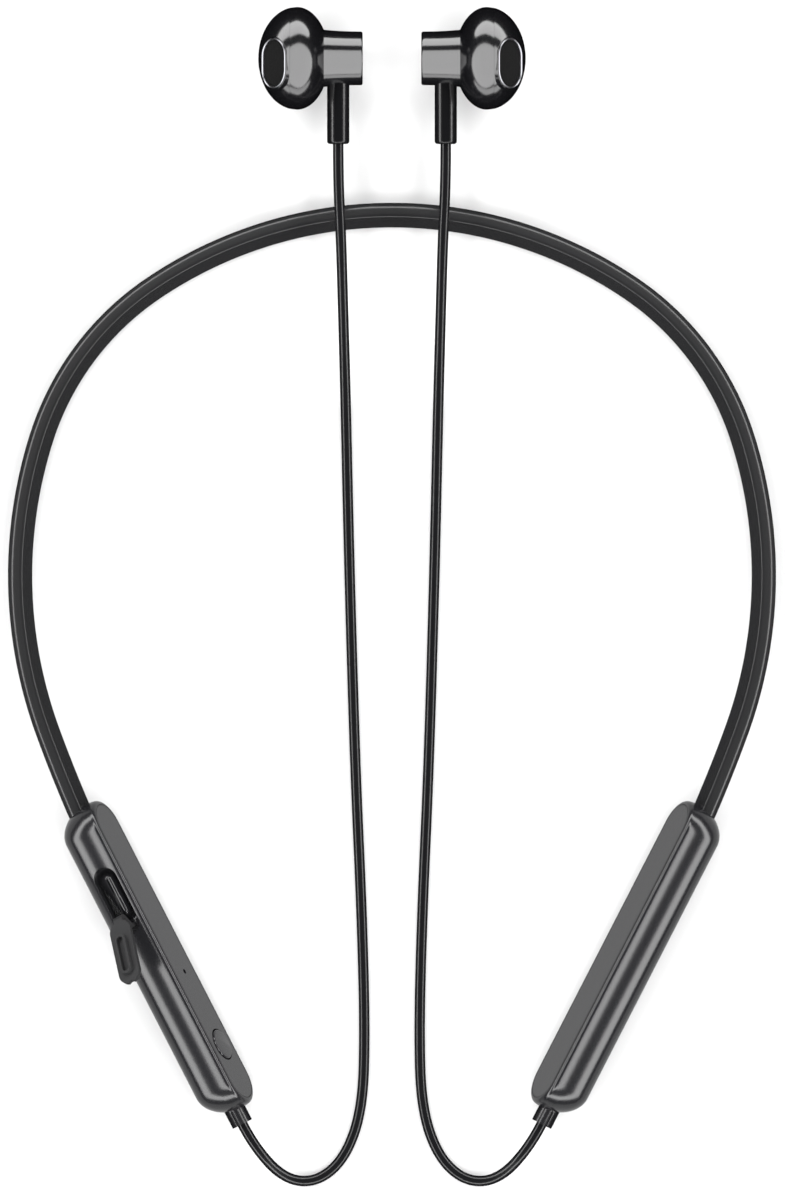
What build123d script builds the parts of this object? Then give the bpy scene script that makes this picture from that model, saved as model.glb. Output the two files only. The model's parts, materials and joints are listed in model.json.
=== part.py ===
from build123d import *
from math import atan2, ceil, cos, degrees, pi, radians, sin, sqrt, tan
import os

# Neckband earphones lying on a table, z = 0. +Z is up, +Y runs from the pods to the earbuds,
# and the plane x = 0 halves the neckband. "Left" is the wearer's left pod, at negative x.
# Millimetres and degrees.

# ---- neckband ----
BAND_TOP_Y = 62.15  # middle line of the band at the back of the neck
BAND_ARCS = ((74.9, 34.2), (50.0, 38.1), (80.0, 37.7), (250.0, 4.7))  # radius and turn, from x = 0
BAND_TALL = 5.0
BAND_THICK = 3.2
BAND_BACK_RADIUS = 1.55
BAND_FACE_RADIUS = 0.5
FACE_TILT = 22.0  # the flat inner faces of band and pods look up by this much
WIRE_DIAMETER = 1.1
LEAD_DIAMETER = 0.8
LEAD_SPACING = 1.35  # from the memory wire to each lead
BORE_GAP = 0.05
SLEEVE_IN = 6.0  # length of the sleeve inside the pod
WIRE_PAST_SLEEVE = 3.4
LEAD_PAST_SLEEVE = 5.4
SLEEVE_GAP = 0.12
LENGTH_TURN = 20.0  # longest turn of one length of the sleeve

# ---- pods: local x runs along the pod to the band, y to the narrow top side, z to the flat face ----
POD_LENGTH = 60.0
POD_WIDTH = 10.4
POD_THICK = 8.2
POD_WALL = 1.0
POD_BACK_RADIUS = 3.6
POD_EDGE_RADIUS = 0.9
POD_LEAN = 27.2  # pod axis from the Y direction
COVER_THICK = 1.0
COVER_INSET = 1.3
COVER_GAP = 0.08
LEDGE_WIDTH = 0.5
LEDGE_THICK = 0.5

BOOT_DIAMETER = 3.75
BOOT_OUT = 2.5  # length that shows past the pod
BOOT_Z = 0.6
BOOT_FLANGE_DIAMETER = 5.4
BOOT_FLANGE_THICK = 1.0
BOOT_FLANGE_IN = 2.1  # from the pod's end to the flange
BOOT_GROOVE = 0.5
LEAD_BORE = 1.1
HOLE_GAP = 0.05

CLAMP_LENGTH = 3.8
CLAMP_TALL = 5.4
CLAMP_THICK = 3.6
CLAMP_AFTER_SLEEVE = 0.3

# ---- charging socket in the left pod's narrow side ----
SOCKET_X = 13.15
SOCKET_Z = 0.84
SOCKET_LONG = 8.94
SOCKET_HIGH = 3.26
SOCKET_WALL = 0.3
SOCKET_DEEP = 6.6
SOCKET_SET_BACK = 1.0  # from the pod's side to the socket's mouth
TONGUE_LONG = 6.7
TONGUE_THICK = 0.7
TONGUE_SET_BACK = 0.8
SOCKET_BASE = 1.0
CONTACT_COUNT = 12
CONTACT_PITCH = 0.5
CONTACT_WIDE = 0.25
CONTACT_THICK = 0.08
CONTACT_LONG = 3.4
RECESS_LONG = 12.9
RECESS_HIGH = 4.4
RECESS_DEEP = 0.9
RECESS_END_X = 5.9  # the recess's end away from the band
BOSS_THICK = 1.2
BOSS_MARGIN = 0.6

FLAP_GAP = 0.12
FLAP_RIB_DEEP = 0.9
FLAP_RIB_WALL = 0.45
FLAP_RIB_GAP = 0.25
FLAP_OPEN = 146.0  # from closed to where it stands
FLAP_PIVOT_OUT = 1.8  # pivot above the pod's side
FLAP_PIVOT_IN = 1.1  # pivot from the recess's end, along the pod
FLAP_NOTCH = 1.3
TETHER_THICK = 0.7
TETHER_WIDE = 1.8
TETHER_ANCHOR_IN = 1.5

# ---- call button and microphone on the left cover ----
BUTTON_X = -18.4
BUTTON_DIAMETER = 5.5
BUTTON_GAP = 0.25
BUTTON_PROUD = 0.25
BUTTON_FLANGE = 0.5  # how far the flange reaches past the cap
BUTTON_FLANGE_THICK = 0.5
BUTTON_TRAVEL = 0.35
BUTTON_POST_DIAMETER = 2.0
PLUNGER_DIAMETER = 1.8
PLUNGER_LONG = 0.9
SWITCH_SIDE = 4.5
SWITCH_HIGH = 1.5
MIC_X = -4.05
MIC_HOLE = 0.9
MIC_DIAMETER = 4.0
MIC_HIGH = 1.4
MIC_GASKET = 0.3

# ---- electronics ----
BOARD_THICK = 0.8
BOARD_WIDE = 7.4
BOARD_END_MARGIN = 4.6
BOARD_UNDER_SOCKET = 0.05
BATTERY_LONG = 38.0
BATTERY_WIDE = 7.0
BATTERY_THICK = 4.2
BATTERY_EDGE = 0.8
BATTERY_LOW_Z = -1.9
BATTERY_END_MARGIN = 4.9
FOAM_LONG = 30.0
FOAM_WIDE = 3.0
PROTECTION_LONG = 4.0
PROTECTION_GAP = 0.5

# ---- earbuds: axis along X; right bud built, left one mirrored ----
BUD_Y = 89.3
BUD_INNER_X = 5.14  # flat end of the barrel
HEAD_DIAMETER = 18.0
HEAD_FRONT = 6.75
HEAD_REAR = 5.7
HEAD_FRONT_EDGE = 5.4  # arc round the widest place
HEAD_REAR_EDGE = 4.0
HEAD_X = 16.67  # widest place
SEAM_AHEAD = 1.2  # shell joint in front of the widest place
BUD_WALL = 0.9
BARREL_DIAMETER = 9.4
BARREL_FLARE = 0.8
BARREL_WALL = 0.7
CAP_THICK = 0.6
CAP_SPIGOT = 0.8
CAP_EDGE = 0.35
CLASP_DIAMETER = 7.0
CLASP_THICK = 2.0
STEM_X = 9.42
STEM_DIAMETER = 3.9
STEM_END = 15.0  # below the bud's axis
STEM_TOP = 4.25
STEM_EDGE = 0.5
PORT_LONG = 8.9
PORT_WIDE = 6.5
PORT_RIM = 0.35
PORT_AHEAD = 4.1
PORT_DOWN = 1.03
PORT_UP = 6.25
PORT_TURN = 40.0  # port axis from the bud's axis, up towards the viewer
RIM_THICK = 0.5
COLLAR_WALL = 0.2
COLLAR_DEEP = 1.4
GRILLE_THICK = 0.25
VENT_LONG = 2.4
VENT_WIDE = 0.8
VENT_BEHIND = 2.05
VENT_DOWN = 6.8
VENT_SCREEN = 0.2
FRAME_CLEAR = 0.8  # from the driver's frame to the inside of the shell
FRAME_RADIUS = HEAD_DIAMETER / 2 - BUD_WALL - FRAME_CLEAR
FRAME_THICK = 1.4
FRAME_RIM = 0.7
YOKE_RADIUS = 4.5
YOKE_WALL = 0.5
YOKE_DEEP = 2.2
MAGNET_RADIUS = 3.0
COIL_RADIUS = 3.6
COIL_WALL = 0.3
COIL_LONG = 1.5
CONE_THICK = 0.15
CONE_CLEAR = 0.15
CONE_TRAVEL = 0.2

# ---- cords ----
CORD_DIAMETER = 1.85
CORD_LOW = 0.97  # middle of a cord that lies on the table
CORD_FIRST_RUN = 6.5  # straight down out of the stem
CORD_LAST_RUN = 4.5  # straight up into the boot
ARC_SHARE = 0.45  # share of the shorter run that a corner's arc takes

# Left cord's corners between its first and last runs; the right cord is its mirror image.
CORD_POINTS = (
    (-8.9, 57.3, 9.6),
    (-8.58, 45.6, 5.9),
    (-8.14, 29.8, CORD_LOW),
    (-7.54, 1.7, CORD_LOW),
    (-6.46, -35.1, CORD_LOW),
    (-5.32, -60.0, CORD_LOW),
    (-4.74, -81.6, CORD_LOW),
    (-5.2, -95.0, CORD_LOW),
    (-8.2, -103.6, CORD_LOW),
    (-13.2, -107.9, CORD_LOW),
    (-18.9, -107.3, 2.2),
)


def band_section(grow=0.0):
    """Band's section about its middle: flat inner side with tight corners, round back."""
    face = Rectangle(BAND_THICK + 2 * grow, BAND_TALL + 2 * grow)
    corners = face.vertices().sort_by(Axis.X)
    face = fillet(corners[:2], BAND_BACK_RADIUS + grow)
    corners = face.vertices().group_by(Axis.X)[-1]
    return fillet(corners, BAND_FACE_RADIUS + grow)


def bores():
    """The memory wire's bore and the two leads' bores, side by side up the section."""
    wire = Circle(WIRE_DIAMETER / 2 + BORE_GAP)
    lead = Circle(LEAD_DIAMETER / 2 + BORE_GAP)
    return wire + Pos(0, LEAD_SPACING) * lead + Pos(0, -LEAD_SPACING) * lead


def leads():
    lead = Circle(LEAD_DIAMETER / 2)
    return Pos(0, LEAD_SPACING) * lead + Pos(0, -LEAD_SPACING) * lead


def band_path():
    """Arcs of the left half: centre, radius, start bearing and turn, and the last point and heading."""
    x, y, bearing = 0.0, 0.0, 90.0
    arcs = []
    for radius, turn in BAND_ARCS:
        centre = (x - radius * cos(radians(bearing)), y - radius * sin(radians(bearing)))
        arcs.append((centre, radius, bearing, turn))
        bearing += turn
        x = centre[0] + radius * cos(radians(bearing))
        y = centre[1] + radius * sin(radians(bearing))
    return arcs, (x, y), bearing


ARCS, BAND_END, END_BEARING = band_path()


def along_band(face, extra=0.0, only_last=False, side=-1):
    """A section carried round the band in its own plane, on past the sleeve's end by extra.
    side -1 is the left half, 1 the right half and 0 both."""
    half = None
    for centre, radius, bearing, turn in ARCS[-1:] if only_last else ARCS:
        if (centre, radius) == (ARCS[-1][0], ARCS[-1][1]):
            turn = turn + degrees(extra / radius)
        out = Vector(cos(radians(bearing)), sin(radians(bearing)), 0)
        plane = Plane(Vector(*centre) + out * radius, x_dir=out, z_dir=out.cross(Vector(0, 0, 1)))
        piece = revolve(
            plane * (Rot(0, 0, 180 - FACE_TILT) * face), Axis((*centre, 0), (0, 0, 1)), turn
        )
        half = piece if half is None else half + piece
    if side == -1:
        return half
    other = mirror(half, about=Plane.YZ)
    return other if side == 1 else half + other


def sleeve_lengths(face):
    """The sleeve as short lengths that meet end to end, each turning by no more than LENGTH_TURN."""
    half = []
    for centre, radius, bearing, turn in ARCS:
        count = ceil(turn / LENGTH_TURN)
        axis = Axis((*centre, 0), (0, 0, 1))
        for n in range(count):
            start = radians(bearing + turn * n / count)
            out = Vector(cos(start), sin(start), 0)
            plane = Plane(Vector(*centre) + out * radius, x_dir=out, z_dir=out.cross(Vector(0, 0, 1)))
            half.append(revolve(plane * (Rot(0, 0, 180 - FACE_TILT) * face), axis, turn / count))
    return Compound([piece for one in half for piece in (one, mirror(one, about=Plane.YZ))])


def reach(face):
    """Lowest and highest point of a section that lies tilted as the band and pods do."""
    box = (Rot(0, 0, 180 - FACE_TILT) * face).bounding_box()
    return box.min.Y, box.max.Y


# A pod lies on its round back and narrow side; the band's back lies on the table, and its ends are as
# high as the pods' middles.
BAND_Z = -reach(band_section())[0]
LEAN = Vector(-sin(radians(POD_LEAN)), cos(radians(POD_LEAN)), 0)  # from the left pod to its band end
INWARD = Vector(cos(radians(POD_LEAN)), sin(radians(POD_LEAN)), 0)
FACE = INWARD * cos(radians(FACE_TILT)) + Vector(0, 0, 1) * sin(radians(FACE_TILT))
BACK_Y = POD_WIDTH / 2 - POD_BACK_RADIUS
BACK_Z = POD_THICK / 2 - POD_BACK_RADIUS
POD_Z = BACK_Y * cos(radians(FACE_TILT)) + BACK_Z * sin(radians(FACE_TILT)) + POD_BACK_RADIUS
LAST_HEADING = Vector(-sin(radians(END_BEARING)), cos(radians(END_BEARING)), 0)
ENTRY = Vector(BAND_END[0], BAND_TOP_Y + BAND_END[1], POD_Z) - LAST_HEADING * SLEEVE_IN
POD_MIDDLE = ENTRY - LEAN * (POD_LENGTH / 2)
LEFT_POD = Plane(POD_MIDDLE, x_dir=LEAN, z_dir=FACE)
BAND_TIP = degrees(atan2(POD_Z - BAND_Z, BAND_TOP_Y - ENTRY.Y))
BAND_POSE = Pos(0, BAND_TOP_Y, BAND_Z) * Rot(-BAND_TIP, 0, 0)


def slab(length, width, low, high, x=0.0, z=0.0, upright=False):
    """A plate with full round ends: flat in the pod's xy plane, or standing across it from y low to high."""
    plane = Plane((x, low, z), x_dir=(1, 0, 0), z_dir=(0, 1, 0)) if upright else Plane((x, 0, low))
    return extrude(plane * SlotOverall(length, width), high - low)


def block(x0, x1, y0, y1, z0, z1):
    return Pos((x0 + x1) / 2, (y0 + y1) / 2, (z0 + z1) / 2) * Box(x1 - x0, y1 - y0, z1 - z0)


def rod(radius, x0, x1, z=0.0):
    return Pos((x0 + x1) / 2, 0, z) * Rot(0, 90, 0) * Cylinder(radius, x1 - x0)


def disc(radius, low, high, x=0.0):
    return Pos(x, 0, (low + high) / 2) * Cylinder(radius, high - low)


FACE_Z = POD_THICK / 2
COVER_LOW = FACE_Z - COVER_THICK
ROOM_TOP = COVER_LOW - LEDGE_THICK
ROOM_LOW = POD_WALL - FACE_Z
SIDE_Y = POD_WIDTH / 2
END_X = POD_LENGTH / 2
SOCKET_MOUTH = SIDE_Y - SOCKET_SET_BACK
SOCKET_BACK = SOCKET_MOUTH - SOCKET_DEEP
RECESS_X = RECESS_END_X + RECESS_LONG / 2
RECESS_FLOOR = SIDE_Y - RECESS_DEEP
BOARD_TOP = SOCKET_Z - SOCKET_HIGH / 2 - BOARD_UNDER_SOCKET
CLAMP_END = END_X - SLEEVE_IN - CLAMP_AFTER_SLEEVE
CLAMP_START = CLAMP_END - CLAMP_LENGTH


def outline(inset, low, high):
    return slab(POD_LENGTH - 2 * inset, POD_WIDTH - 2 * inset, low, high)


def pod_shell(sleeve_hole):
    """Open tub with a ledge under the cover, a hole for the band and a hole for the boot."""
    body = outline(0, -FACE_Z, FACE_Z)
    body = fillet(body.faces().sort_by(Axis.Z)[0].edges(), POD_BACK_RADIUS)
    body = fillet(body.faces().sort_by(Axis.Z)[-1].edges(), POD_EDGE_RADIUS)
    room = outline(POD_WALL, ROOM_LOW, ROOM_TOP)
    room = fillet(room.faces().sort_by(Axis.Z)[0].edges(), POD_BACK_RADIUS - POD_WALL)
    throat = outline(COVER_INSET + LEDGE_WIDTH, ROOM_TOP - POD_WALL, FACE_Z)
    seat = outline(COVER_INSET - COVER_GAP, COVER_LOW, FACE_Z)
    boot_hole = rod(BOOT_DIAMETER / 2 + HOLE_GAP, -END_X - 1, -END_X + BOOT_FLANGE_IN + 1, BOOT_Z)
    return body - room - throat - seat - boot_hole - sleeve_hole


def socket_details(shell):
    """Thickens the narrow side behind the socket, then cuts the flap's recess and the socket's way in."""
    room = outline(POD_WALL, ROOM_LOW, ROOM_TOP)
    room = fillet(room.faces().sort_by(Axis.Z)[0].edges(), POD_BACK_RADIUS - POD_WALL)
    boss = slab(
        RECESS_LONG + 2 * BOSS_MARGIN,
        RECESS_HIGH + 2 * BOSS_MARGIN,
        RECESS_FLOOR - BOSS_THICK,
        SIDE_Y - POD_WALL,
        RECESS_X,
        SOCKET_Z,
        upright=True,
    )
    recess = slab(RECESS_LONG, RECESS_HIGH, RECESS_FLOOR, SIDE_Y + 1, RECESS_X, SOCKET_Z, upright=True)
    way = slab(
        SOCKET_LONG + 2 * HOLE_GAP,
        SOCKET_HIGH + 2 * HOLE_GAP,
        SOCKET_BACK,
        SIDE_Y,
        SOCKET_X,
        SOCKET_Z,
        upright=True,
    )
    anchor_x = RECESS_END_X + TETHER_ANCHOR_IN
    anchor = block(
        anchor_x - TETHER_THICK / 2 - HOLE_GAP,
        anchor_x + TETHER_THICK / 2 + HOLE_GAP,
        RECESS_FLOOR - BOSS_THICK,
        SIDE_Y,
        SOCKET_Z - TETHER_WIDE / 2 - HOLE_GAP,
        SOCKET_Z + TETHER_WIDE / 2 + HOLE_GAP,
    )
    board_room = block(-END_X, END_X, -SIDE_Y, SIDE_Y, -FACE_Z, BOARD_TOP + BOARD_UNDER_SOCKET)
    return shell + (boss & room) - (board_room & boss & room) - recess - way - anchor


def cover(holes=None):
    plate = outline(COVER_INSET, COVER_LOW, FACE_Z)
    return plate if holes is None else plate - holes


def boot():
    """Strain relief: a collar held by a flange inside the pod, with a groove along its face side."""
    neck = rod(BOOT_DIAMETER / 2, -END_X - BOOT_OUT, -END_X + BOOT_FLANGE_IN, BOOT_Z)
    flange_start = -END_X + BOOT_FLANGE_IN
    flange = rod(BOOT_FLANGE_DIAMETER / 2, flange_start, flange_start + BOOT_FLANGE_THICK, BOOT_Z)
    flange &= block(-END_X, 0, -SIDE_Y, SIDE_Y, ROOM_LOW, ROOM_TOP - HOLE_GAP)
    bore = rod(LEAD_BORE / 2, -END_X - BOOT_OUT, flange_start + BOOT_FLANGE_THICK, BOOT_Z)
    groove = block(
        -END_X - BOOT_OUT,
        -END_X + 0.5 * BOOT_GROOVE,
        BOOT_DIAMETER / 2 - BOOT_GROOVE / 2,
        BOOT_DIAMETER,
        BOOT_Z - BOOT_GROOVE / 2,
        BOOT_Z + BOOT_GROOVE / 2,
    )
    return neck + flange - bore - groove


def clamp(band_bores):
    """Block past the sleeve's end that grips the memory wire and lets the leads through."""
    body = block(CLAMP_START, CLAMP_END, -CLAMP_TALL / 2, CLAMP_TALL / 2, -CLAMP_THICK / 2, CLAMP_THICK / 2)
    return body - band_bores


def closed_flap():
    """Rubber cover for the recess, with a hollow rib that plugs the socket and a nail notch at its tip."""
    gap = 2 * FLAP_GAP
    lid = slab(
        RECESS_LONG - gap,
        RECESS_HIGH - gap,
        RECESS_FLOOR + FLAP_GAP,
        SIDE_Y,
        RECESS_X,
        SOCKET_Z,
        upright=True,
    )
    inner_long = SOCKET_LONG - 2 * SOCKET_WALL - 2 * FLAP_RIB_GAP
    inner_high = SOCKET_HIGH - 2 * SOCKET_WALL - 2 * FLAP_RIB_GAP
    rib_low = RECESS_FLOOR + FLAP_GAP - FLAP_RIB_DEEP
    rib = slab(inner_long, inner_high, rib_low, RECESS_FLOOR + FLAP_GAP, SOCKET_X, SOCKET_Z, upright=True)
    hollow = slab(
        inner_long - 2 * FLAP_RIB_WALL,
        inner_high - 2 * FLAP_RIB_WALL,
        rib_low,
        RECESS_FLOOR + FLAP_GAP,
        SOCKET_X,
        SOCKET_Z,
        upright=True,
    )
    tip_x = RECESS_END_X + RECESS_LONG - FLAP_GAP
    notch = Pos(tip_x + FLAP_NOTCH / 4, SIDE_Y, SOCKET_Z) * Rot(90, 0, 0) * Cylinder(FLAP_NOTCH / 2, 4)
    return lid + rib - hollow - notch


PIVOT = (RECESS_END_X + FLAP_PIVOT_IN, SIDE_Y + FLAP_PIVOT_OUT)
OPENED = Pos(PIVOT[0], PIVOT[1], 0) * Rot(0, 0, FLAP_OPEN) * Pos(-PIVOT[0], -PIVOT[1], 0)


def tether(flap):
    """Rubber strip, bent out of its hole in the recess and back to the open flap's foot."""
    anchor_x = RECESS_END_X + TETHER_ANCHOR_IN
    foot_x = RECESS_END_X + FLAP_GAP - PIVOT[0]
    foot_y = RECESS_FLOOR + (RECESS_DEEP + FLAP_GAP) / 2 - PIVOT[1]
    turn = radians(FLAP_OPEN)
    foot = (
        PIVOT[0] + foot_x * cos(turn) - foot_y * sin(turn),
        PIVOT[1] + foot_x * sin(turn) + foot_y * cos(turn),
    )
    back = 2 * TETHER_THICK
    bend = (foot[0] - back * cos(turn), foot[1] - back * sin(turn))
    inside = (foot[0] + TETHER_THICK * cos(turn), foot[1] + TETHER_THICK * sin(turn))
    path = FilletPolyline(
        (anchor_x, RECESS_FLOOR - BOSS_THICK),
        (anchor_x, SIDE_Y + TETHER_THICK / 2),
        bend,
        inside,
        radius=1.2 * TETHER_THICK,
    )
    strip = extrude(Pos(0, 0, SOCKET_Z - TETHER_WIDE / 2) * trace(path, TETHER_THICK), TETHER_WIDE)
    return strip - flap


def socket():
    """Metal shell, plastic tongue on its base, and contacts on both faces of the tongue."""
    upright = {"x": SOCKET_X, "z": SOCKET_Z, "upright": True}
    inner_long, inner_high = SOCKET_LONG - 2 * SOCKET_WALL, SOCKET_HIGH - 2 * SOCKET_WALL
    shell = slab(SOCKET_LONG, SOCKET_HIGH, SOCKET_BACK, SOCKET_MOUTH, **upright)
    shell -= slab(inner_long, inner_high, SOCKET_BACK, SOCKET_MOUTH, **upright)
    base = slab(inner_long, inner_high, SOCKET_BACK, SOCKET_BACK + SOCKET_BASE, **upright)
    tongue_end = SOCKET_MOUTH - TONGUE_SET_BACK
    half_long, half_thick = TONGUE_LONG / 2, TONGUE_THICK / 2
    blade = block(
        SOCKET_X - half_long,
        SOCKET_X + half_long,
        SOCKET_BACK + SOCKET_BASE,
        tongue_end,
        SOCKET_Z - half_thick,
        SOCKET_Z + half_thick,
    )
    pad = Box(CONTACT_WIDE, CONTACT_LONG, CONTACT_THICK)
    first = SOCKET_X - CONTACT_PITCH * (CONTACT_COUNT - 1) / 2
    pads = [
        Pos(
            first + CONTACT_PITCH * n,
            tongue_end - 0.3 - CONTACT_LONG / 2,
            SOCKET_Z + side * (half_thick + CONTACT_THICK / 2),
        )
        * pad
        for n in range(CONTACT_COUNT)
        for side in (-1, 1)
    ]
    return shell, base + blade, Compound(pads)


def button_parts():
    """Cap with its retaining flange and post, the switch's plunger, and the switch's body."""
    top = FACE_Z + BUTTON_PROUD
    flange_top = COVER_LOW - HOLE_GAP
    flange_low = flange_top - BUTTON_FLANGE_THICK
    switch_top = BOARD_TOP + SWITCH_HIGH
    plunger_top = switch_top + PLUNGER_LONG - BUTTON_TRAVEL - 2 * HOLE_GAP
    cap = disc(BUTTON_DIAMETER / 2, flange_top, top)
    cap = fillet(cap.faces().sort_by(Axis.Z)[-1].edges(), BUTTON_PROUD)
    cap += disc(BUTTON_DIAMETER / 2 + BUTTON_FLANGE, flange_low, flange_top)
    cap += disc(BUTTON_POST_DIAMETER / 2, plunger_top, flange_low)
    plunger = disc(PLUNGER_DIAMETER / 2, plunger_top - PLUNGER_LONG, plunger_top)
    well_low = plunger_top - PLUNGER_LONG - BUTTON_TRAVEL - HOLE_GAP
    switch = block(-SWITCH_SIDE / 2, SWITCH_SIDE / 2, -SWITCH_SIDE / 2, SWITCH_SIDE / 2, BOARD_TOP, switch_top)
    switch -= disc(PLUNGER_DIAMETER / 2 + HOLE_GAP, well_low, switch_top)
    place = Pos(BUTTON_X, 0, 0)
    return place * cap, place * plunger, place * switch


def left_electronics():
    """Board under the socket, its chips and aerial, and the microphone glued behind its hole."""
    board_end = CLAMP_START - CLAMP_AFTER_SLEEVE
    board = block(
        -END_X + BOARD_END_MARGIN,
        board_end,
        -BOARD_WIDE / 2,
        BOARD_WIDE / 2,
        BOARD_TOP - BOARD_THICK,
        BOARD_TOP,
    )
    chips = [
        block(x, x + long, -wide / 2, wide / 2, BOARD_TOP, BOARD_TOP + high)
        for x, long, wide, high in ((-13.5, 4.0, 4.0, 0.8), (-1.0, 3.0, 2.4, 0.7), (3.5, 2.0, 1.6, 0.5))
    ]
    aerial = block(-24.6, -22.4, -2.6, 2.6, BOARD_TOP, BOARD_TOP + 0.9)
    mic_top = COVER_LOW - MIC_GASKET
    gasket = disc(MIC_DIAMETER / 2, mic_top, COVER_LOW, MIC_X) - disc(MIC_HOLE / 2, mic_top, COVER_LOW, MIC_X)
    mic = disc(MIC_DIAMETER / 2, mic_top - MIC_HIGH, mic_top, MIC_X)
    return board, Compound(chips), aerial, gasket, mic


def right_electronics():
    """Battery on its foam pad, and the protection board between it and the band's leads."""
    start = -END_X + BATTERY_END_MARGIN
    end = start + BATTERY_LONG
    half = BATTERY_WIDE / 2
    cell = block(start, end, -half, half, BATTERY_LOW_Z, BATTERY_LOW_Z + BATTERY_THICK)
    cell = fillet(cell.edges().filter_by(Axis.X), BATTERY_EDGE)
    middle = (start + end) / 2
    pad = block(
        middle - FOAM_LONG / 2, middle + FOAM_LONG / 2, -FOAM_WIDE / 2, FOAM_WIDE / 2, ROOM_LOW, BATTERY_LOW_Z
    )
    board_start = end + PROTECTION_GAP
    board = block(
        board_start,
        board_start + PROTECTION_LONG,
        -half,
        half,
        -BOARD_THICK / 2,
        BOARD_THICK / 2,
    )
    return cell, pad, board


def half_head(front, inset):
    """Half the head about X: an arc round its widest place runs smoothly into one over its end."""
    radius = HEAD_DIAMETER / 2
    depth = HEAD_FRONT if front else HEAD_REAR
    edge = HEAD_FRONT_EDGE if front else HEAD_REAR_EDGE
    end = ((radius - edge) ** 2 + depth**2 - edge**2) / (2 * (depth - edge))
    meet = degrees(atan2(radius - edge, end - depth))
    lines = [
        CenterArc((0, radius - edge), edge - inset, meet, 90 - meet),
        CenterArc((depth - end, 0), end - inset, 0, meet),
        Line((depth - inset, 0), (0, 0)),
        Line((0, 0), (0, radius - inset)),
    ]
    half = revolve(make_face(lines), Axis.X)
    return half if front else Rot(0, 0, 180) * half


def turned(points):
    """A closed outline of (x, radius) points turned about the X axis."""
    return revolve(make_face(Polyline(*points, close=True)), Axis.X)


def oval(length, width, low, high, plane):
    return extrude(plane * Pos(0, 0, low) * SlotOverall(length, width), high - low)


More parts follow.
